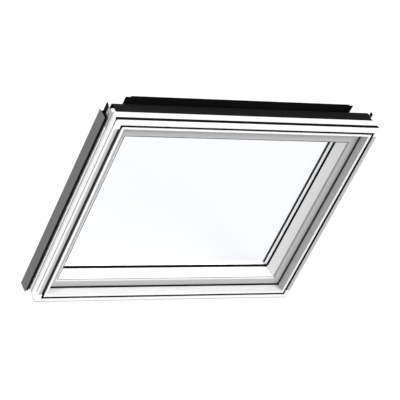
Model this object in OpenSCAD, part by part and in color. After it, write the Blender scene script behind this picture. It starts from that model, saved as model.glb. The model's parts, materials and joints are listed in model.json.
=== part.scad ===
// Fixed roof skylight: a white frame with a fixed sash, a double glazed unit,
// and metal claddings on the weather side.
// +X runs across the window, to the right as seen from the room.
// +Y points out to the weather, and +Z points up the slope of the roof.
// The origin is at the middle of the frame's bottom face.
// Sections are drawn in (t, y): t runs inward from the frame's outer edge,
// and y runs outward from the frame's room face.

/* [Frame] */
// Overall width of the frame
frame_w = 1140; // [780:1:1340]
// Overall height of the frame, up the slope
frame_h = 920; // [780:1:1180]
// Depth of the frame from the room face to its weather face
frame_d = 70; // [60:1:84]
// Width of each frame member
member_w = 40; // [36:1:60]
// How much the inner wall of a frame member leans in towards the sash
wall_draft = 3; // [0:0.5:6]
// Depth of the room half of the corner lap joint
lap_d = 36; // [30:1:44]
// Shortest piece of weather-side wood that a corner lap may leave
dowel_d = 10; // [6:1:14]
// Length of each corner dowel
dowel_len = 44; // [30:1:50]

/* [Lining groove] */
// Distance of the lining groove from the outer edge of the frame
groove_t = 18; // [14:0.5:24]
// Width of the lining groove
groove_w = 9; // [5:0.5:12]
// Depth of the lining groove
groove_d = 14; // [8:1:20]
// Width of the rounded edge between a stile's lip and the groove
lip_round_w = 14; // [2:0.5:16]
// Drop of that rounded edge
lip_round_d = 8; // [1:0.5:10]

/* [Side and top marks] */
// Distance of the installation line and the joint seal from the room face
line_y = 16.5; // [12:0.5:24]
// Width of the installation line
line_w = 1.6; // [1:0.2:3]
// Depth of the installation line
line_d = 1; // [0.5:0.1:2]
// Distance of the narrow relief groove from the room face
relief_y = 42.5; // [38:0.5:44]
// Width of the narrow relief groove
relief_w = 1.2; // [0.8:0.2:2]
// Distance of the flashing groove from the room face
flashing_y = 50; // [47:0.5:56]
// Width of the flashing groove
flashing_w = 2.4; // [1.6:0.2:4]
// Depth of the flashing groove
flashing_d = 3; // [1:0.5:5]
// Width of the joint seal in the top face
top_seal_w = 15; // [8:0.5:16]
// Depth of the groove that holds the joint seal
top_seal_d = 6; // [3:0.5:8]
// How far the joint seal lies below the top face
top_seal_sink = 0.6; // [0.2:0.1:2]
// Length of the joint seal's return down each side
seal_return_h = 36; // [20:1:38]
// Width of that return
seal_return_w = 5; // [3:0.5:8]

/* [Sash] */
// Gap between the frame and the sash
sash_gap = 6; // [3:0.5:8]
// Distance of the sash's room face from the frame's room face
sash_y = 36; // [30:1:44]
// Width of the sash's room face, with its bevel
sash_face_w = 33.5; // [30:0.5:44]
// Width of the bevel at the inner edge of the sash's face
bevel_w = 6; // [3:0.5:9]
// Depth of that bevel
bevel_d = 2.5; // [1:0.5:4]
// Width of the shadow groove between the sash's face and its inner wall
shadow_w = 3; // [2:0.5:4]
// Depth of the shadow groove
shadow_d = 8; // [4:1:12]
// Distance between the sash's inner wall at the room and at the glass
splay_w = 19.5; // [12:0.5:26]
// How far the glazing bed lies beyond the frame's weather face
bed_out = 12.5; // [8:0.5:16]
// Height of the sash's weather upstand above the glazing bed
upstand_h = 23.5; // [20:0.5:26]
// Width of the sash's weather upstand
upstand_w = 38; // [34:0.5:40]
// How much wider the top sash rail is than the others
top_extra = 22; // [10:1:32]
// How far the seal between the frame and the sash reaches into their gap
frame_seal_d = 12; // [6:1:20]
// How far that seal stands past the sash's room face
frame_seal_proud = 4; // [0:0.5:6]

/* [Glazing] */
// Thickness of each pane
pane_t = 4; // [3:0.5:6]
// Width of the cavity between the panes
cavity_w = 16; // [12:1:18]
// Gap between the edge of the glass and the sash
glass_gap = 4; // [3:0.5:6]
// Width of the sealant at the edge of the glass
edge_seal_w = 5; // [3:0.5:7]
// Width of the spacer bar
spacer_w = 6; // [5:0.5:10]
// Thickness of the inner gasket
inner_gasket_d = 4; // [3:0.5:5]
// How far the inner gasket stands past the sash's inner wall
inner_gasket_lip = 1; // [0.5:0.1:3]
// How far the bottom inner gasket stands past the sash's inner wall
bottom_gasket_lip = 3.5; // [1:0.5:7]
// How far each inner gasket's wedge runs along the sash's inner wall
gasket_wedge = 5; // [2:0.5:8]
// Distance of the gaskets from the edge of the glass
gasket_inset = 2; // [1:0.5:5]
// Thickness of the outer gasket
outer_gasket_d = 3; // [2:0.5:4]
// Width of the outer gasket
outer_gasket_w = 8; // [6:0.5:10]
// Length of each setting block
block_len = 80; // [50:5:120]
// Distance of the setting blocks from the corners of the glass
block_inset = 140; // [80:5:180]

/* [Claddings] */
// Thickness of the cladding sheet
sheet_t = 1.5; // [1:0.1:2]
// Distance of the side cladding's leg from the side of the frame
side_reach = 22.5; // [16:0.5:30]
// Distance of the leg's room edge from the frame's room face
leg_y = 54; // [48:1:60]
// How far the side cladding's flange lies beyond the frame's weather face
flange_out = 30; // [24:0.5:32]
// Distance of the leg's top end below the top of the frame
leg_cut = 32; // [20:1:50]
// Distance of the side flanges' top ends below the top of the frame
flange_cut = 40; // [20:1:50]
// Distance of the side channel's web from the side of the frame
channel_reach = 7.5; // [6:0.5:12]
// Distance of the side channel's room edge from the frame's room face
channel_y = 62; // [56:1:66]
// How far the tongue of the side channel's web stands above the frame
channel_rise = 2; // [0:1:12]
// Width of that tongue
tongue_w = 16; // [8:1:30]
// Gap between a flange and the side of the sash
flange_gap = 4; // [2:0.5:8]
// How far the end cladding laps over the edge of the frame
lap_over = 19; // [8:1:20]
// Distance of each end of the top cladding from the side of the frame
end_inset = 11; // [6:1:20]
// Inside radius of the end cladding's bend
bend_r = 3; // [1:0.5:4]

/* [Glass covers] */
// Distance of the side cover's outer edge from the side of the frame
cover_t = 24; // [16:1:30]
// How far the side and top covers reach over the gasket's inner edge
cover_lap = 1; // [0:0.5:3]
// Distance of the side cover's bottom end from the bottom of the frame
cover_inset = 4; // [2:1:12]
// Distance of the side cover's top end below the top of the frame
cover_cut = 22; // [10:1:40]
// How far the bottom cover reaches over the glass
bottom_bite = 6; // [4:0.5:8]
// Distance of the bottom cover's edge from the bottom of the frame
bottom_cover_t = 10; // [6:1:20]
// Gap between two covers that meet
cover_gap = 1; // [0.5:0.5:3]

/* [Top cover] */
// How far the raised cover lies beyond the frame's weather face
raised_out = 49.5; // [48:0.5:64]
// How far the raised cover stands above the frame
raised_rise = 12; // [4:1:20]
// Distance of each end of the raised cover from the side of the frame
raised_inset = 73; // [40:1:90]
// Width of the raised plate, down the slope
raised_plate = 58; // [40:1:70]
// Width of the sloping web of the raised cover
raised_web = 14; // [8:1:24]
// Width of the raised cover's foot
raised_foot = 34; // [20:1:44]
// Width of the drip lip along the raised cover's top edge
drip_w = 6; // [3:0.5:10]
// How far the drip lip falls back towards the room
drip_fall = 2; // [0:0.5:4]
// Distance of the drip lip's ends from the ends of the raised cover
drip_inset = 20; // [10:1:40]

/* [Fixings] */
// Length of each angle bracket between the frame and the sash
bracket_len = 60; // [40:1:80]
// Thickness of the bracket
bracket_t = 2; // [1.5:0.1:3]
// Length of the bracket's foot on the frame
bracket_foot = 34; // [26:1:36]
// Height of the bracket's leg on the sash
bracket_leg = 22; // [16:1:25]
// Distance of the brackets from the corners of the frame
bracket_inset = 250; // [180:5:300]
// Length of each side clip
clip_len = 70; // [50:1:90]
// Distance of the top clip's room edge from the frame's room face
clip_y = 50; // [48:0.5:56]
// Distance of the lower clips' room edge from the frame's room face
low_clip_y = 62; // [58:0.5:64]
// Width of the clip's flange over the frame
clip_flange = 30; // [20:1:34]
// Distance of the end clips from the ends of the frame
clip_inset = 8; // [4:1:20]
// Diameter of the screws
screw_d = 4; // [3:0.5:5]
// Diameter of the screw heads
screw_head_d = 8; // [6:0.5:10]
// Height of the screw heads
screw_head_h = 2.4; // [1.5:0.1:3]
// How far each screw runs into the wood
screw_grip = 14; // [8:1:16]
// Radial clearance around each screw and dowel
hole_clear = 0.15; // [0.05:0.05:0.4]
// Length of each block under a side cover
cover_block_len = 30; // [20:1:50]
// Width of each block under a side cover
cover_block_w = 16; // [12:1:20]
// Distance of the end blocks from the ends of the frame
cover_block_inset = 150; // [130:5:200]

/* [Hidden] */
$fn = 32;
WHITE = "#f4f4f2";
BLACK = "#18181a";
GREY = "#77787c";
SILVER = "#c4c6c8";
GLASS = "#cfe3ee90";

sides = ["left", "right", "bottom", "top"];
// The middle of the frame's depth is at Y = 0
room_y = -frame_d / 2;
side_x = -frame_w / 2;
// The room half of a member is narrower by the draft at its room face
room_w = member_w - wall_draft;

sash_t = member_w + sash_gap;
shadow_t = sash_t + sash_face_w;
wall_t = shadow_t + shadow_w;
wall_y = sash_y + bevel_d;
bed_y = frame_d + bed_out;
bed_t = wall_t + splay_w;
upstand_t = sash_t + upstand_w;
upstand_y = bed_y + upstand_h;

glass_t = upstand_t + glass_gap;
glass_y = bed_y + inner_gasket_d;
cavity_y = glass_y + pane_t;
outer_y = cavity_y + cavity_w;
weather_y = outer_y + pane_t;
glass_w = frame_w - 2 * glass_t;
glass_h = frame_h - 2 * glass_t - top_extra;
cover_y = weather_y + outer_gasket_d;

flange_y = frame_d + flange_out;
raised_y = frame_d + raised_out;
web_t = -channel_reach + sheet_t;
channel_flange_y = flange_y - sheet_t;
clip_flange_y = channel_flange_y - sheet_t;
end_flange_y = clip_flange_y - sheet_t;
flange_t = sash_t - flange_gap;

wedge_t = bed_t - splay_w * gasket_wedge / (bed_y - wall_y);
outer_gasket_t = glass_t + gasket_inset + edge_seal_w;
cover_end_t = outer_gasket_t + outer_gasket_w + cover_lap;
cover_flat_t = sash_t + flange_gap;
cover_block_t = upstand_t - (upstand_w + cover_block_w) / 2;
cover_screw_t = cover_block_t + cover_block_w / 2;
cover_screw_z = [cover_block_inset, frame_h / 2, frame_h - cover_block_inset];

bracket_mid = bracket_foot / 2;
bracket_leg_mid = frame_d + bracket_leg / 2 + bracket_t / 2;
clip_z = [clip_inset, (frame_h - clip_len) / 2, frame_h - clip_inset - clip_len];
clip_screw_z = [for (z = clip_z, s = [0.25, 0.75]) z + s * clip_len];
clip_screw_y = (low_clip_y + frame_d) / 2;

// A section in (t, y), run along the bottom of the window from x0 to x1
module along_bottom(x0, x1) {
    translate([x0, room_y, 0])
        rotate([90, 0, 90])
            linear_extrude(x1 - x0)
                mirror([1, -1])
                    children();
}

// The same along the top
module along_top(x0, x1) {
    translate([0, 0, frame_h])
        mirror([0, 0, 1])
            along_bottom(x0, x1)
                children();
}

// A section in (t, y), run up the left side of the window from z0 to z1
module along_left(z0, z1) {
    translate([side_x, room_y, z0])
        linear_extrude(z1 - z0)
            children();
}

// The left side's shape, mirrored to the right side where asked
module on_side(side) {
    mirror([side == "right" ? 1 : 0, 0, 0])
        children();
}

// A box in (t, y) as a section
module strip(t0, t1, y0, y1) {
    translate([t0, y0])
        square([t1 - t0, y1 - y0]);
}

// A four-sided ring of strips: rails run past the stiles, which fit between them
module ring_piece(side, t0, t1, y0, y1, extra_t1 = 0) {
    bottom_t1 = t1 + extra_t1;
    if (side == "bottom")
        along_bottom(side_x + t0, -side_x - t0)
            strip(t0, bottom_t1, y0, y1);
    else if (side == "top")
        along_top(side_x + t0, -side_x - t0)
            strip(t0 + top_extra, t1 + top_extra, y0, y1);
    else
        on_side(side)
            along_left(bottom_t1, frame_h - top_extra - t1)
                strip(t0, t1, y0, y1);
}

// A hole or shank along +Y from the room face's side
module rod_y(t, y0, y1, z, d) {
    translate([side_x + t, room_y + y0, z])
        rotate([-90, 0, 0])
            cylinder(d = d, h = y1 - y0);
}

// A hole or shank along +X, inward from t0 to t1 on the left side
module rod_x(t0, t1, y, z, d) {
    translate([side_x + t0, room_y + y, z])
        rotate([0, 90, 0])
            cylinder(d = d, h = t1 - t0);
}

// ---- frame ----

module member_outline() {
    polygon([
        [0, 0], [room_w, 0], [member_w, lap_d], [member_w, frame_d], [0, frame_d]
    ]);
}

// What a rounded edge takes off a stile's lip, beside the groove
module lip_rounding() {
    start = groove_t - lip_round_w;
    polygon(concat(
        [[start, -1]],
        [for (a = [0:15:90]) [start + lip_round_w * sin(a), lip_round_d * (1 - cos(a))]],
        [[groove_t, -1]]
    ));
}

// The lining groove runs right round the room face
module lining_groove() {
    along_bottom(side_x + groove_t, -side_x - groove_t)
        strip(groove_t, groove_t + groove_w, -1, groove_d);
    along_top(side_x + groove_t, -side_x - groove_t)
        strip(groove_t, groove_t + groove_w, -1, groove_d);
    for (side = ["left", "right"])
        on_side(side)
            along_left(groove_t, frame_h - groove_t)
                strip(groove_t, groove_t + groove_w, -1, groove_d);
}

// The room half of a rail, as the stiles are cut to meet it
module rail_lap() {
    lean = wall_draft / lap_d;
    polygon([
        [-1, -1], [room_w - lean, -1], [member_w, lap_d], [-1, lap_d]
    ]);
}

// The dowels lie along Y through the laps
module dowels(length, d) {
    for (side = ["left", "right"], z = [member_w / 2, frame_h - member_w / 2])
        on_side(side)
            rod_y(member_w / 2, frame_d - length, frame_d, z, d);
}

module frame_rail(face = "bottom") {
    difference() {
        along_bottom(side_x, -side_x)
            difference() {
                member_outline();
                strip(-1, sheet_t, frame_d - lap_over, frame_d + 1);
                if (face == "top")
                    strip(-1, top_seal_d, line_y - top_seal_w / 2, line_y + top_seal_w / 2);
            }
        for (side = ["left", "right"])
            on_side(side)
                along_left(-1, member_w + 1)
                    strip(-1, member_w, lap_d, frame_d + 1);
    }
}

module frame_top() {
    color(WHITE)
        difference() {
            translate([0, 0, frame_h])
                mirror([0, 0, 1])
                    frame_rail("top");
            lining_groove();
            seal_returns(-1, frame_h + 1);
            dowels(dowel_len, dowel_d + 2 * hole_clear);
            for (x = [-1, 1])
                rail_bracket_hole(x, "top");
        }
}

module frame_bottom() {
    color(WHITE)
        difference() {
            frame_rail();
            lining_groove();
            dowels(dowel_len, dowel_d + 2 * hole_clear);
            for (x = [-1, 1])
                rail_bracket_hole(x, "bottom");
        }
}

module frame_stile() {
    end_x = side_x + member_w + 1;
    difference() {
        along_left(0, frame_h)
            difference() {
                member_outline();
                lip_rounding();
                strip(-1, line_d, line_y - line_w / 2, line_y + line_w / 2);
                strip(-1, line_d, relief_y - relief_w / 2, relief_y + relief_w / 2);
                strip(-1, flashing_d, flashing_y - flashing_w / 2, flashing_y + flashing_w / 2);
            }
        along_bottom(side_x - 1, end_x)
            rail_lap();
        along_top(side_x - 1, end_x)
            rail_lap();
        // The end claddings lie in a rebate that runs on over the stile's ends
        along_bottom(side_x - 1, end_x)
            strip(-1, sheet_t, frame_d - lap_over, frame_d + 1);
        along_top(side_x - 1, end_x)
            strip(-1, sheet_t, frame_d - lap_over, frame_d + 1);
        lining_groove();
        dowels(dowel_len, dowel_d + 2 * hole_clear);
        stile_bracket_holes();
        clip_holes(screw_d + 2 * hole_clear);
    }
}

module frame_left() {
    color(WHITE)
        frame_stile();
}

module frame_right() {
    color(WHITE)
        on_side("right")
            frame_stile();
}

module corner_dowels() {
    color("#c9a878")
        dowels(dowel_len, dowel_d);
}

// ---- sash ----

// The shift moves the whole section inward, and a straight block fills behind it
module sash_outline(shift = 0) {
    difference() {
        polygon([
            [sash_t, sash_y],
            [shadow_t - bevel_w + shift, sash_y],
            [shadow_t + shift, wall_y],
            [wall_t + shift, wall_y],
            [bed_t + shift, bed_y],
            [upstand_t + shift, bed_y],
            [upstand_t + shift, upstand_y],
            [sash_t, upstand_y]
        ]);
        strip(shadow_t + shift, wall_t + shift, sash_y - 1, wall_y + shadow_d);
    }
}

// The mitre planes lie at 45 degrees; the top ones start below the top rail's extra width
module mitre_prism(points) {
    translate([0, room_y + upstand_y + 1, 0])
        rotate([90, 0, 0])
            linear_extrude(upstand_y - sash_y + 2)
                polygon(points);
}

module sash_rail(face) {
    x = -side_x - sash_t;
    run = bed_t - sash_t + 1;
    extra = face == "top" ? top_extra : 0;
    intersection() {
        along_bottom(-x, x)
            sash_outline(extra);
        mitre_prism([
            [-x, 0], [x, 0], [x, sash_t + extra], [x - run, sash_t + extra + run],
            [run - x, sash_t + extra + run], [-x, sash_t + extra]
        ]);
    }
}

module sash_top() {
    color(WHITE)
        difference() {
            translate([0, 0, frame_h])
                mirror([0, 0, 1])
                    sash_rail("top");
            for (x = [-1, 1])
                rail_bracket_hole(x, "top");
        }
}

module sash_bottom() {
    color(WHITE)
        difference() {
            sash_rail("bottom");
            for (x = [-1, 1])
                rail_bracket_hole(x, "bottom");
        }
}

module sash_stile() {
    x = side_x + sash_t;
    run = bed_t - sash_t + 1;
    top = frame_h - sash_t - top_extra;
    difference() {
        intersection() {
            along_left(0, frame_h)
                sash_outline();
            mitre_prism([
                [x, sash_t], [x + run, sash_t + run], [x + run, top - run], [x, top]
            ]);
        }
        stile_bracket_holes();
        cover_screw_set(screw_d + 2 * hole_clear, 0);
    }
}

module sash_left() {
    color(WHITE)
        sash_stile();
}

module sash_right() {
    color(WHITE)
        on_side("right")
            sash_stile();
}

// A frame seal closes the gap between the frame and the sash
module frame_seal(side) {
    y0 = sash_y - frame_seal_proud;
    y1 = sash_y + frame_seal_d;
    color(BLACK)
        if (side == "bottom")
            along_bottom(side_x + member_w, -side_x - member_w)
                strip(member_w, sash_t, y0, y1);
        else if (side == "top")
            along_top(side_x + member_w, -side_x - member_w)
                strip(member_w, sash_t, y0, y1);
        else
            on_side(side)
                along_left(sash_t, frame_h - sash_t)
                    strip(member_w, sash_t, y0, y1);
}

// ---- glazing ----

module pane(y0) {
    color(GLASS)
        translate([-glass_w / 2, room_y + y0, glass_t])
            cube([glass_w, pane_t, glass_h]);
}

module inner_pane() {
    pane(glass_y);
}

module outer_pane() {
    pane(outer_y);
}

module edge_seal(side) {
    color(BLACK)
        ring_piece(side, glass_t, glass_t + edge_seal_w, cavity_y, outer_y);
}

module spacer(side) {
    t0 = glass_t + edge_seal_w;
    color(SILVER)
        ring_piece(side, t0, t0 + spacer_w, cavity_y, outer_y);
}

// The wedge of an inner gasket lies on the sash's inner wall
module gasket_wedge(lip) {
    polygon([[wedge_t, bed_y - gasket_wedge], [bed_t + lip, bed_y], [bed_t, bed_y]]);
}

module inner_gasket(side) {
    t0 = glass_t + gasket_inset;
    rail_x = side_x + bed_t;
    color(BLACK) {
        ring_piece(side, t0, bed_t + inner_gasket_lip, bed_y, glass_y,
            bottom_gasket_lip - inner_gasket_lip);
        if (side == "bottom")
            along_bottom(rail_x, -rail_x)
                gasket_wedge(bottom_gasket_lip);
        else if (side == "top")
            along_top(rail_x, -rail_x)
                translate([top_extra, 0])
                    gasket_wedge(inner_gasket_lip);
        else
            on_side(side)
                along_left(bed_t + bottom_gasket_lip, frame_h - top_extra - bed_t - inner_gasket_lip)
                    gasket_wedge(inner_gasket_lip);
    }
}

module outer_gasket(side) {
    t1 = outer_gasket_t + outer_gasket_w;
    color(BLACK)
        if (side == "top")
            ring_piece(side, outer_gasket_t, t1, weather_y, cover_y);
        else
            on_side(side)
                along_left(glass_t + bottom_bite + cover_gap, frame_h - top_extra - t1)
                    strip(outer_gasket_t, t1, weather_y, cover_y);
}

// Hard blocks carry the glass in the sash and keep it centred
module setting_blocks() {
    y0 = glass_y;
    x = glass_w / 2 - block_inset - block_len;
    z = glass_t + block_inset;
    color("#3c3f44") {
        for (x0 = [-x - block_len, x]) {
            along_bottom(x0, x0 + block_len)
                strip(upstand_t, glass_t, y0, upstand_y);
            along_top(x0, x0 + block_len)
                strip(upstand_t + top_extra, glass_t + top_extra, y0, upstand_y);
        }
        for (side = ["left", "right"], z0 = [z, glass_t + glass_h - block_inset - block_len])
            on_side(side)
                along_left(z0, z0 + block_len)
                    strip(upstand_t, glass_t, y0, upstand_y);
    }
}

// The joint seal's short legs down the sides, or the grooves that hold them
module seal_returns(t0, z1) {
    for (side = ["left", "right"])
        on_side(side)
            along_left(frame_h - seal_return_h, z1)
                strip(t0, top_seal_d, line_y - seal_return_w / 2, line_y + seal_return_w / 2);
}

module top_joint_seal() {
    color(BLACK) {
        along_top(side_x + top_seal_sink, -side_x - top_seal_sink)
            strip(top_seal_sink, top_seal_d, line_y - top_seal_w / 2, line_y + top_seal_w / 2);
        seal_returns(top_seal_sink, frame_h - top_seal_sink);
    }
}

// ---- claddings ----

// The side channel: a black web beside the frame, a flange over it and a return to the cladding
module side_channel(side) {
    color(BLACK)
        on_side(side) {
            along_left(0, frame_h + channel_rise)
                strip(-channel_reach, web_t, flange_y - tongue_w, flange_y);
            along_left(0, frame_h - flange_cut)
                union() {
                    strip(-channel_reach, web_t, channel_y, flange_y);
                    strip(-channel_reach, flange_t, channel_flange_y, flange_y);
                    strip(-side_reach + sheet_t, web_t, channel_y, channel_y + sheet_t);
                }
        }
}

// The side cladding: a deep leg outside the channel, and a flange over the channel's
module side_cladding(side) {
    color(GREY)
        on_side(side) {
            along_left(0, frame_h - leg_cut)
                strip(-side_reach, -side_reach + sheet_t, leg_y, flange_y + sheet_t);
            along_left(0, frame_h - flange_cut)
                strip(-side_reach, flange_t, flange_y, flange_y + sheet_t);
        }
}

// An end cladding lies in the frame's rebate, bends, and runs over to the sash
module end_cladding_outline() {
    y1 = end_flange_y + sheet_t;
    outer_r = bend_r + sheet_t;
    difference() {
        union() {
            strip(0, outer_r, frame_d - lap_over, y1 - outer_r);
            strip(outer_r, flange_t, y1 - outer_r, y1);
            translate([outer_r, y1 - outer_r])
                circle(r = outer_r);
        }
        strip(sheet_t, flange_t + 1, 0, y1 - outer_r);
        strip(outer_r, flange_t + 1, 0, end_flange_y);
        translate([outer_r, y1 - outer_r])
            circle(r = bend_r);
    }
}

module top_cladding() {
    color(BLACK)
        along_top(side_x + end_inset, -side_x - end_inset)
            end_cladding_outline();
}

module bottom_cladding() {
    color(GREY)
        along_bottom(side_x + end_inset, -side_x - end_inset)
            end_cladding_outline();
}

// A clip stands on the frame's side and carries the channel's flange
module side_clips() {
    color(GREY)
        for (side = ["left", "right"])
            on_side(side)
                difference() {
                    for (i = [0:2]) {
                        z1 = clip_z[i] + clip_len;
                        along_left(clip_z[i], z1)
                            strip(-sheet_t, 0, i == 2 ? clip_y : low_clip_y, channel_flange_y);
                        along_left(clip_z[i], min(z1, frame_h - flange_cut))
                            strip(-sheet_t, clip_flange, clip_flange_y, channel_flange_y);
                    }
                    clip_holes(screw_d + 2 * hole_clear);
                }
}

module clip_holes(d) {
    for (z = clip_screw_z)
        rod_x(-sheet_t - 1, screw_grip, clip_screw_y, z, d);
}

module clip_screws() {
    color(SILVER)
        for (side = ["left", "right"], z = clip_screw_z)
            on_side(side) {
                rod_x(-sheet_t, screw_grip, clip_screw_y, z, screw_d);
                rod_x(-sheet_t - screw_head_h, -sheet_t, clip_screw_y, z, screw_head_d);
            }
}

// ---- glass covers ----

// A cover slopes up from the side flange and lies flat on the outer gasket
module cover_outline(shift = 0) {
    low = flange_y + sheet_t;
    polygon([
        [cover_t, low], [cover_flat_t, cover_y], [cover_end_t + shift, cover_y],
        [cover_end_t + shift, cover_y + sheet_t], [cover_flat_t - sheet_t / 2, cover_y + sheet_t],
        [cover_t - sheet_t, low + sheet_t / 2], [cover_t - sheet_t, low]
    ]);
}

module glass_cover(side) {
    color(GREY)
        on_side(side)
            difference() {
                along_left(cover_inset, frame_h - cover_cut)
                    cover_outline();
                cover_screw_set(screw_d + 2 * hole_clear, 0);
            }
}

module glass_cover_top() {
    x = -side_x - cover_end_t - cover_gap;
    color(GREY)
        along_top(-x, x)
            cover_outline(top_extra);
}

// The bottom cover leaves the glass free to drain over it
module bottom_cover() {
    x = -side_x - cover_flat_t;
    low = end_flange_y + sheet_t;
    glass_edge = glass_t + bottom_bite;
    up = glass_t - glass_gap / 2;
    color(GREY)
        along_bottom(-x, x)
            polygon([
                [bottom_cover_t, low], [sash_t, upstand_y], [upstand_t, upstand_y],
                [up, weather_y], [glass_edge, weather_y], [glass_edge, weather_y + sheet_t],
                [up - sheet_t, weather_y + sheet_t], [upstand_t - sheet_t / 2, upstand_y + sheet_t],
                [sash_t - sheet_t / 2, upstand_y + sheet_t], [bottom_cover_t, low + sheet_t]
            ]);
}

module cover_screw_set(d, head_d) {
    top = cover_y + sheet_t;
    for (z = cover_screw_z) {
        rod_y(cover_screw_t, upstand_y - screw_grip, top, z, d);
        if (head_d > 0)
            rod_y(cover_screw_t, top, top + screw_head_h, z, head_d);
    }
}

module cover_screws() {
    color(SILVER)
        for (side = ["left", "right"])
            on_side(side)
                cover_screw_set(screw_d, screw_head_d);
}

// Blocks on the sash carry the side covers
module cover_blocks() {
    color(BLACK)
        for (side = ["left", "right"])
            on_side(side)
                difference() {
                    for (z = cover_screw_z)
                        along_left(z - cover_block_len / 2, z + cover_block_len / 2)
                            strip(cover_block_t, cover_block_t + cover_block_w, upstand_y, cover_y);
                    cover_screw_set(screw_d + 2 * hole_clear, 0);
                }
}

// The raised cover: a foot on the glass covers, a sloping web and a plate along the top
module raised_top_cover() {
    x = -side_x - raised_inset;
    foot_y = cover_y + sheet_t;
    plate_t = raised_plate - raised_rise;
    foot_t = plate_t + raised_web;
    color(BLACK) {
        along_top(-x, x)
            polygon([
                [-raised_rise, raised_y], [plate_t, raised_y], [foot_t, foot_y],
                [foot_t + raised_foot, foot_y], [foot_t + raised_foot, foot_y + sheet_t],
                [foot_t + sheet_t, foot_y + sheet_t], [plate_t + sheet_t, raised_y + sheet_t],
                [-raised_rise, raised_y + sheet_t]
            ]);
        along_top(drip_inset - x, x - drip_inset)
            polygon([
                [-raised_rise, raised_y], [-raised_rise, raised_y + sheet_t],
                [-raised_rise - drip_w, raised_y + sheet_t - drip_fall],
                [-raised_rise - drip_w, raised_y - drip_fall]
            ]);
    }
}

// ---- brackets between the frame and the sash ----

module bracket_outline() {
    foot_t = sash_t - bracket_foot;
    strip(foot_t, sash_t, frame_d, frame_d + bracket_t);
    strip(sash_t - bracket_t, sash_t, frame_d, frame_d + bracket_leg);
}

module bracket_shanks(z, d) {
    rod_y(sash_t - bracket_mid, frame_d - screw_grip, frame_d + bracket_t, z, d);
    rod_x(sash_t - bracket_t, sash_t + screw_grip, bracket_leg_mid, z, d);
}

module bracket_heads(z) {
    rod_y(sash_t - bracket_mid, frame_d + bracket_t, frame_d + bracket_t + screw_head_h, z,
        screw_head_d);
    rod_x(sash_t - bracket_t - screw_head_h, sash_t - bracket_t, bracket_leg_mid, z, screw_head_d);
}

module stile_bracket_holes() {
    for (z = [bracket_inset, frame_h - bracket_inset])
        bracket_shanks(z, screw_d + 2 * hole_clear);
}

// Turns what is drawn on the left side onto the bottom or the top
module onto_rail(face) {
    translate([0, 0, face == "top" ? frame_h : 0])
        mirror([0, 0, face == "top" ? 1 : 0])
            rotate([0, -90, 0])
                translate([frame_w / 2, 0, 0])
                    children();
}

module rail_bracket_hole(x, face) {
    onto_rail(face)
        bracket_shanks(x * (frame_w / 2 - bracket_inset), screw_d + 2 * hole_clear);
}

module bracket_places() {
    for (side = ["left", "right"], z = [bracket_inset, frame_h - bracket_inset])
        on_side(side)
            translate([0, 0, z])
                children();
    for (face = ["bottom", "top"], x = [-1, 1])
        onto_rail(face)
            translate([0, 0, x * (frame_w / 2 - bracket_inset)])
                children();
}

module sash_brackets() {
    color(SILVER)
        bracket_places()
            difference() {
                along_left(-bracket_len / 2, bracket_len / 2)
                    bracket_outline();
                bracket_shanks(0, screw_d + 2 * hole_clear);
            }
}

module bracket_screws() {
    color(SILVER)
        bracket_places() {
            bracket_shanks(0, screw_d);
            bracket_heads(0);
        }
}

frame_top();
frame_bottom();
frame_left();
frame_right();
corner_dowels();
sash_top();
sash_bottom();
sash_left();
sash_right();
for (side = sides)
    frame_seal(side);
inner_pane();
outer_pane();
for (side = sides) {
    spacer(side);
    edge_seal(side);
    inner_gasket(side);
}
for (side = ["left", "right", "top"])
    outer_gasket(side);
setting_blocks();
top_joint_seal();
for (side = ["left", "right"]) {
    side_channel(side);
    side_cladding(side);
    glass_cover(side);
}
top_cladding();
bottom_cladding();
side_clips();
clip_screws();
glass_cover_top();
bottom_cover();
cover_blocks();
cover_screws();
raised_top_cover();
sash_brackets();
bracket_screws();
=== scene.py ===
"""A fixed roof skylight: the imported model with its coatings, glass, rubber and sheet metal."""

import json
import math

import bpy
from mathutils import Matrix, Vector


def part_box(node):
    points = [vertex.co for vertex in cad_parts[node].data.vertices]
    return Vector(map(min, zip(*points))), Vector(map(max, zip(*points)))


MM = 0.001
SIDES = ("top", "bottom", "left", "right")

# Where things lie in the frame's section, in millimetres. Across, they are measured inward
# from the frame's outer edge. In depth, they are measured outward from its room face.
GROOVE = (17.9, 27.1)
GROOVE_DEPTH = 14.2
ROUNDING = 14
ROUNDING_DEPTH = 2.8
WALL = (37.2, 40.1)
SASH_DEPTH = 36
BEVEL_DEPTH = 2.5
SIDE_GROOVES = (41.8, 51.3)
SIDE_GROOVE_REACH = 4
# How far behind a face another one lies at least
STEP = 0.2

# The reddish line along each side, which shows how deep the window is set in the roof
LINE_AT = 16.5
LINE_WIDTH = 3.8
LINE_COLOR = (0.15, 0.035, 0.038)
# Painted shade: a soft dark band beside the second narrow groove
GROOVE_SHADE_AT = 50
GROOVE_SHADE_WIDTH = 4
# Painted shade along the bottom rail's lower edge
LOW_SHADE_WIDTH = 3
# The colour of the painted shade along both edges
EDGE_SHADE_COLOR = (0.3, 0.3, 0.3)
# How far in from the frame's side the lines' colour reaches
SIDE_SKIN = 0.5

# A face looks into the room where its normal's Y is below the first of these, and is
# turned towards the room where it is below the second
SQUARE_TO_ROOM = -0.9
TOWARDS_ROOM = -0.3

# Painted shade in crevices: how far apart two faces may be to count as a crevice, in
# millimetres, and the shares of open sky between which its colour changes
CREVICE_REACH = 20
CREVICE_SKY = (0.2, 0.85)
CREVICE_SHADE = 0.04
# Where most of a noise texture's values lie
NOISE_SPAN = (0.3, 0.7)

# The shade of the white paint
WHITE = 0.9
# The side of the floor, in metres
FLOOR_SIZE = 60

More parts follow.
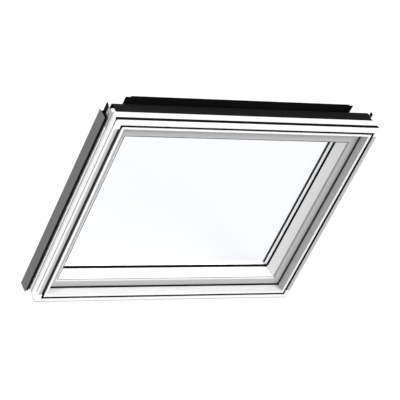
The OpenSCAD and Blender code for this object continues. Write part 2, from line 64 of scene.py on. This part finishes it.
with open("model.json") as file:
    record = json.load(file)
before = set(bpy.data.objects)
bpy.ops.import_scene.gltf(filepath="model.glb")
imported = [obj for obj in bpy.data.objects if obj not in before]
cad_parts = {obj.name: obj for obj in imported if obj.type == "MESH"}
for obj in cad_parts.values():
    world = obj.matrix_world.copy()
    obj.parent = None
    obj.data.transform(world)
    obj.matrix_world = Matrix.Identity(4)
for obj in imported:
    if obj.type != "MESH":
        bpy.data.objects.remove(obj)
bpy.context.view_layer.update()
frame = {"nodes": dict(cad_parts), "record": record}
nodes = frame["nodes"]

room_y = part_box("frame_left")[0][1]
side_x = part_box("frame_right")[1][0]
top_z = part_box("frame_top")[1][2]


# ---- materials ----

def principled(name, base, roughness, specular=0.5, metallic=0.0):
    """A new material and its shader."""
    material = bpy.data.materials.new(name)
    material.use_nodes = True
    shader = material.node_tree.nodes["Principled BSDF"]
    shader.inputs["Base Color"].default_value = (*base, 1)
    shader.inputs["Roughness"].default_value = roughness
    shader.inputs["Specular IOR Level"].default_value = specular
    shader.inputs["Metallic"].default_value = metallic
    return material, shader


def noise(material, scale, detail=3.0):
    """Noise over the object's own coordinates, in cycles per metre."""
    tree = material.node_tree
    place = tree.nodes.new("ShaderNodeTexCoord")
    texture = tree.nodes.new("ShaderNodeTexNoise")
    texture.inputs["Scale"].default_value = scale
    texture.inputs["Detail"].default_value = detail
    tree.links.new(place.outputs["Object"], texture.inputs["Vector"])
    return texture


def grain(material, shader, scale, relief):
    """Fine surface relief, in millimetres."""
    tree = material.node_tree
    bump = tree.nodes.new("ShaderNodeBump")
    bump.inputs["Strength"].default_value = 1.0
    bump.inputs["Distance"].default_value = relief * MM
    tree.links.new(noise(material, scale).outputs["Fac"], bump.inputs["Height"])
    tree.links.new(bump.outputs["Normal"], shader.inputs["Normal"])


def vary_roughness(material, shader, scale, low, high):
    """Gloss that drifts a little from place to place."""
    tree = material.node_tree
    spread = tree.nodes.new("ShaderNodeMapRange")
    spread.inputs["From Min"].default_value = NOISE_SPAN[0]
    spread.inputs["From Max"].default_value = NOISE_SPAN[1]
    spread.inputs["To Min"].default_value = low
    spread.inputs["To Max"].default_value = high
    tree.links.new(noise(material, scale).outputs["Fac"], spread.inputs["Value"])
    tree.links.new(spread.outputs["Result"], shader.inputs["Roughness"])


def paint_crevice_shade(material, shader, color):
    """Painted shade: the colour falls to a small share of itself in narrow grooves and corners.
    """
    tree = material.node_tree
    crevice = tree.nodes.new("ShaderNodeAmbientOcclusion")
    crevice.samples = 8
    crevice.only_local = True
    crevice.inputs["Distance"].default_value = CREVICE_REACH * MM
    spread = tree.nodes.new("ShaderNodeMapRange")
    spread.interpolation_type = "SMOOTHSTEP"
    spread.inputs["From Min"].default_value = CREVICE_SKY[0]
    spread.inputs["From Max"].default_value = CREVICE_SKY[1]
    mix = tree.nodes.new("ShaderNodeMix")
    mix.data_type = "RGBA"
    mix.inputs["A"].default_value = (*(c * CREVICE_SHADE for c in color), 1)
    mix.inputs["B"].default_value = (*color, 1)
    tree.links.new(crevice.outputs["AO"], spread.inputs["Value"])
    tree.links.new(spread.outputs["Result"], mix.inputs["Factor"])
    tree.links.new(mix.outputs["Result"], shader.inputs["Base Color"])


def white_coat(name, shade):
    """Satin paint, very slightly warm, with painted shade in its crevices."""
    color = (shade, shade, shade * 0.995)
    material, shader = principled(name, color, 0.45, specular=0.35)
    paint_crevice_shade(material, shader, color)
    vary_roughness(material, shader, 9, 0.42, 0.5)
    grain(material, shader, 420, 0.04)
    return material


def calculated(tree, operation, value, first=0.0, second=0.0):
    """The result of a Math node, whose second and third inputs are numbers."""
    math_node = tree.nodes.new("ShaderNodeMath")
    math_node.operation = operation
    math_node.inputs[1].default_value = first
    math_node.inputs[2].default_value = second
    tree.links.new(value, math_node.inputs[0])
    return math_node.outputs["Value"]


def object_axes(tree):
    """The object's own X, Y and Z at each point, in metres."""
    place = tree.nodes.new("ShaderNodeTexCoord")
    split = tree.nodes.new("ShaderNodeSeparateXYZ")
    tree.links.new(place.outputs["Object"], split.inputs["Vector"])
    return split.outputs


def recolor(tree, where, color):
    """Lays a colour over the base colour where the value is 1."""
    mix = tree.nodes.new("ShaderNodeMix")
    mix.data_type = "RGBA"
    mix.inputs["B"].default_value = (*color, 1)
    base = tree.nodes["Principled BSDF"].inputs["Base Color"]
    under = base.links[0].from_socket
    tree.links.new(where, mix.inputs["Factor"])
    tree.links.new(under, mix.inputs["A"])
    tree.links.new(mix.outputs["Result"], base)


def add_side_line(material, at, width, color):
    """A coloured line along the frame's outer sides, at a distance from the room face."""
    tree = material.node_tree
    axes = object_axes(tree)
    across = calculated(tree, "ABSOLUTE", axes["X"])
    on_side = calculated(tree, "GREATER_THAN", across, side_x - SIDE_SKIN * MM)
    on_line = calculated(tree, "COMPARE", axes["Y"], room_y + at * MM, width * MM / 2)
    both = tree.nodes.new("ShaderNodeMath")
    both.operation = "MULTIPLY"
    tree.links.new(on_side, both.inputs[0])
    tree.links.new(on_line, both.inputs[1])
    recolor(tree, both.outputs["Value"], color)


def white_rail(name, shade):
    """The white coat, with painted shade along the frame's lower edge."""
    material = white_coat(name, shade)
    tree = material.node_tree
    low = calculated(tree, "LESS_THAN", object_axes(tree)["Z"], LOW_SHADE_WIDTH * MM)
    recolor(tree, low, EDGE_SHADE_COLOR)
    return material


def white_stile(name, shade):
    """The white coat, with two lines along the frame's outer sides: the printed reddish line and
    a line of painted shade.
    """
    material = white_coat(name, shade)
    add_side_line(material, LINE_AT, LINE_WIDTH, LINE_COLOR)
    # Painted shade beside the second narrow groove
    add_side_line(material, GROOVE_SHADE_AT, GROOVE_SHADE_WIDTH, EDGE_SHADE_COLOR)
    return material


def coated_sheet(name, base, specular, low, high):
    """Powder-coated sheet metal, with a roughness from low to high."""
    material, shader = principled(name, base, (low + high) / 2, specular=specular)
    vary_roughness(material, shader, 14, low, high)
    grain(material, shader, 900, 0.03)
    return material


def rubber(name, shade):
    material, shader = principled(name, (shade, shade, shade * 1.05), 0.7, specular=0.08)
    grain(material, shader, 700, 0.05)
    return material


def glass(name):
    material, shader = principled(name, (0.952, 0.96, 0.974), 0.0)
    shader.inputs["Transmission Weight"].default_value = 1.0
    # Coated against reflections, so less bright than bare glass
    shader.inputs["IOR"].default_value = 1.15
    return material


def bare_metal(name, base, low, high, scale):
    material, shader = principled(name, base, (low + high) / 2, metallic=1.0)
    vary_roughness(material, shader, scale, low, high)
    return material


def plastic(name, base):
    material, shader = principled(name, base, 0.5, specular=0.4)
    grain(material, shader, 500, 0.04)
    return material


def bare_wood(name):
    material, shader = principled(name, (0.6, 0.42, 0.24), 0.6, specular=0.3)
    tree = material.node_tree
    ramp = tree.nodes.new("ShaderNodeValToRGB")
    ramp.color_ramp.elements[0].color = (0.5, 0.33, 0.18, 1)
    ramp.color_ramp.elements[1].color = (0.68, 0.5, 0.31, 1)
    tree.links.new(noise(material, 160, 6).outputs["Fac"], ramp.inputs["Fac"])
    tree.links.new(ramp.outputs["Color"], shader.inputs["Base Color"])
    return material


LOOKS = {
    "white_frame": white_coat("white frame coat", WHITE),
    "white_stile": white_stile("white frame coat with a line", WHITE),
    "white_rail": white_rail("white frame coat with painted edge shade", WHITE),
    "white_sash": white_coat("white sash coat", WHITE),
    # Grey copies of the white coat, as painted shade on recessed faces, lips, walls and the
    # bevel
    "painted_shade_coat": white_coat("painted shade, grey", 0.55),
    "top_sash_shade_coat": white_coat("painted shade, light grey", 0.75),
    "side_wall_shade_coat": white_coat("painted wall shade, grey", 0.5),
    "bottom_wall_shade_coat": white_coat("painted wall shade, light", 0.66),
    "bevel_shade_coat": white_coat("painted bevel shade", 0.4),
    # Dark coats painted into grooves as their shade
    "groove_shade_coat": rubber("painted groove shade, dark", 0.01),
    "soft_groove_shade_coat": rubber("painted groove shade, grey", 0.11),
    "line_paint": plastic("installation line", LINE_COLOR),
    "dowel_wood": bare_wood("bare dowel wood"),
    "black_rubber": rubber("black rubber", 0.004),
    # Painted light: a lighter rubber for the seal on the right
    "painted_light_rubber": rubber("black rubber with painted light", 0.06),
    "edge_sealant": rubber("edge sealant", 0.012),
    "clear_glass": glass("clear glass"),
    "spacer_metal": plastic("light spacer", (0.93, 0.93, 0.93)),
    "block_plastic": plastic("block plastic", (0.03, 0.031, 0.034)),
    "black_sheet": coated_sheet("black coated sheet", (0.005, 0.005, 0.0055), 0.06, 0.42,
                                0.52),
    "grey_sheet": coated_sheet("grey coated sheet", (0.14, 0.14, 0.142), 0.3, 0.4, 0.5),
    "clip_metal": coated_sheet("grey coated clip", (0.42, 0.42, 0.425), 0.3, 0.4, 0.5),
    "fixing_steel": bare_metal("zinc plated steel", (0.66, 0.67, 0.69), 0.25, 0.38, 120),
}

# How far each kind of edge is rounded, in millimetres
EDGES = {"white_frame": 0.3, "white_sash": 0.4, "grey_sheet": 0.3, "black_sheet": 0.3}


def round_edges(piece, width):
    """Rounds the piece's sharp edges, with the width in millimetres."""
    bevel = piece.modifiers.new("rounded edges", "BEVEL")
    bevel.width = width * MM
    bevel.segments = 2
    bevel.limit_method = "ANGLE"
    bevel.angle_limit = math.radians(25)
    bevel.use_clamp_overlap = True
    bevel.harden_normals = True


def paint_faces(piece, look, chosen):
    """Gives the faces that chosen(centre, normal) names another look."""
    piece.data.materials.append(LOOKS[look])
    for face in piece.data.polygons:
        if chosen(face.center, face.normal):
            face.material_index = len(piece.data.materials) - 1


# Each piece gets the look that its slot in the record names
for entry in frame["record"]["subparts"]:
    piece = nodes[entry["node"]]
    slot = entry["material_slot"]
    piece.data.materials.clear()
    piece.data.materials.append(LOOKS[slot])
    if slot in EDGES:
        round_edges(piece, EDGES[slot])
    if slot == "clear_glass":
        piece.visible_shadow = False


# ---- faces with a look of their own: painted shade, and the printed line ----

def inward(centre):
    """How far a point lies inward from the frame's outer edge, in millimetres."""
    return min(side_x - abs(centre.x), centre.z, top_z - centre.z) / MM


def depth(centre):
    """How far a point lies outward from the room face, in millimetres."""
    return (centre.y - room_y) / MM


def in_groove(centre, normal):
    return GROOVE[0] < inward(centre) < GROOVE[1] and STEP < depth(centre) < GROOVE_DEPTH


def on_sash_face(centre, normal):
    return normal.y < SQUARE_TO_ROOM and depth(centre) < SASH_DEPTH + STEP


def on_bevel(centre, normal):
    return (normal.y < SQUARE_TO_ROOM
            and SASH_DEPTH + STEP < depth(centre) < SASH_DEPTH + BEVEL_DEPTH)


def on_wall(centre, normal):
    return WALL[0] < inward(centre) < WALL[1] and depth(centre) < SASH_DEPTH


def on_lip(centre, normal):
    return inward(centre) < GROOVE[0] and normal.y < TOWARDS_ROOM


def on_rounding(centre, normal):
    return (ROUNDING < inward(centre) < GROOVE[1]
            and ROUNDING_DEPTH < depth(centre) < GROOVE_DEPTH)


def in_line_groove(centre, normal):
    return (abs(depth(centre) - LINE_AT) < LINE_WIDTH / 2
            and STEP < inward(centre) < SIDE_GROOVE_REACH)


def in_side_grooves(centre, normal):
    return (SIDE_GROOVES[0] < depth(centre) < SIDE_GROOVES[1]
            and STEP < inward(centre) < SIDE_GROOVE_REACH)


for side in SIDES:
    # The lining groove is painted dark inside as its shade, and a softer grey on the left
    paint_faces(nodes["frame_" + side],
                "soft_groove_shade_coat" if side == "left" else "groove_shade_coat", in_groove)
    # The sash's room face is painted grey as the shade of its recess, and painted lighter at the
    # top against the top rail's shadow
    paint_faces(nodes["sash_" + side],
                "top_sash_shade_coat" if side == "top" else "painted_shade_coat", on_sash_face)

# The right sash's bevel is painted grey as shade
paint_faces(nodes["sash_right"], "bevel_shade_coat", on_bevel)
# The bottom rail gets painted shade along its lower edge
nodes["frame_bottom"].data.materials[0] = LOOKS["white_rail"]
# Painted shade on the bottom rail's inner wall, lighter than on the stiles
paint_faces(nodes["frame_bottom"], "bottom_wall_shade_coat", on_wall)
# The seal on the right is painted lighter than the others, as painted light
nodes["frame_seal_right"].data.materials[0] = LOOKS["painted_light_rubber"]

for side in ("left", "right"):
    stile = nodes["frame_" + side]
    stile.data.materials[0] = LOOKS["white_stile"]
    # Painted shade: the stiles' lips and inner walls get grey coats
    paint_faces(stile, "painted_shade_coat", on_lip)
    paint_faces(stile, "side_wall_shade_coat", on_wall)
    if side == "right":
        # The rounding is painted dark as the shade where it falls away into the groove
        paint_faces(stile, "groove_shade_coat", on_rounding)
    paint_faces(stile, "line_paint", in_line_groove)
    # The two narrow grooves behind the line are painted dark inside as their shade
    paint_faces(stile, "groove_shade_coat", in_side_grooves)


# ---- floor, light and camera ----

def seen_straight(tree, seen, light):
    """One value for what is seen, also through glass, and another for what it lights."""
    rays = tree.nodes.new("ShaderNodeLightPath")
    direct = tree.nodes.new("ShaderNodeMath")
    direct.operation = "MAXIMUM"
    spread = tree.nodes.new("ShaderNodeMapRange")
    spread.inputs["To Min"].default_value = light
    spread.inputs["To Max"].default_value = seen
    tree.links.new(rays.outputs["Is Camera Ray"], direct.inputs[0])
    tree.links.new(rays.outputs["Is Transmission Ray"], direct.inputs[1])
    tree.links.new(direct.outputs["Value"], spread.inputs["Value"])
    return spread.outputs["Result"]


def floor_look(seen, light):
    """Pale and mostly self-lit, so that only a faint shadow stays on it."""
    material, shader = principled("pale floor", (0.1, 0.1, 0.1), 0.9, specular=0.0)
    shader.inputs["Emission Color"].default_value = (1, 1, 1, 1)
    strength = seen_straight(material.node_tree, seen, light)
    material.node_tree.links.new(strength, shader.inputs["Emission Strength"])
    return material


bpy.ops.mesh.primitive_plane_add(size=FLOOR_SIZE)
floor = bpy.context.object
floor.name = "floor"
floor.data.materials.append(floor_look(seen=0.96, light=0.37))


def white_world(seen, light):
    """White behind everything, and a softer white for what it lights."""
    world = bpy.data.worlds.new("studio")
    world.use_nodes = True
    tree = world.node_tree
    background = tree.nodes["Background"]
    background.inputs["Color"].default_value = (1, 1, 1, 1)
    tree.links.new(seen_straight(tree, seen, light), background.inputs["Strength"])
    bpy.context.scene.world = world


def soft_sun(name, direction_from, strength, spread_degrees, only=()):
    """A distant lamp, which lights every piece or only the named nodes."""
    light = bpy.data.lights.new(name, "SUN")
    light.energy = strength
    light.angle = math.radians(spread_degrees)
    lamp = bpy.data.objects.new(name, light)
    lamp.rotation_euler = Vector(direction_from).to_track_quat("Z", "Y").to_euler()
    bpy.context.collection.objects.link(lamp)
    if only:
        lit = bpy.data.collections.new(name)
        for node in only:
            lit.objects.link(nodes[node])
        lamp.light_linking.receiver_collection = lit


white_world(seen=1.0, light=0.2)
soft_sun("key", (0.35, -0.55, 0.85), 2.7, 30)
soft_sun("front fill", (-0.4, -1.0, 0.2), 0.45, 70)
# The side light is flagged off everything but the outside of the frame
soft_sun("side light", (-1.0, -0.35, 0.25), 2.6, 6, only=(
    "frame_left", "frame_top", "frame_bottom", "side_channel_left", "side_cladding_left",
    "side_clips", "clip_screws", "raised_top_cover", "top_cladding"))
soft_sun("wall fill", (-1.0, -0.6, 0.2), 1.15, 60, only=(
    "frame_right", "sash_right", "spacer_right"))
soft_sun("back light", (0.2, 0.9, 0.5), 1.0, 40)


def camera(at, target, roll_degrees, lens):
    """Aims a long lens at the target, then rolls it."""
    data = bpy.data.cameras.new("camera")
    data.lens = lens
    data.sensor_width = 36
    data.clip_end = 100
    view = bpy.data.objects.new("camera", data)
    aim = (Vector(target) - Vector(at)).to_track_quat("-Z", "Y").to_matrix().to_4x4()
    roll = Matrix.Rotation(math.radians(roll_degrees), 4, "Z")
    view.matrix_world = Matrix.Translation(at) @ aim @ roll
    bpy.context.collection.objects.link(view)
    bpy.context.scene.camera = view


# The window leans back in a roof, so seen upright from above the view is rolled
camera(at=(-4.120, -4.838, 5.127), target=(-0.041, 0.001, 0.507), roll_degrees=27.0,
       lens=186.7)

bpy.context.scene.view_settings.view_transform = "Standard"
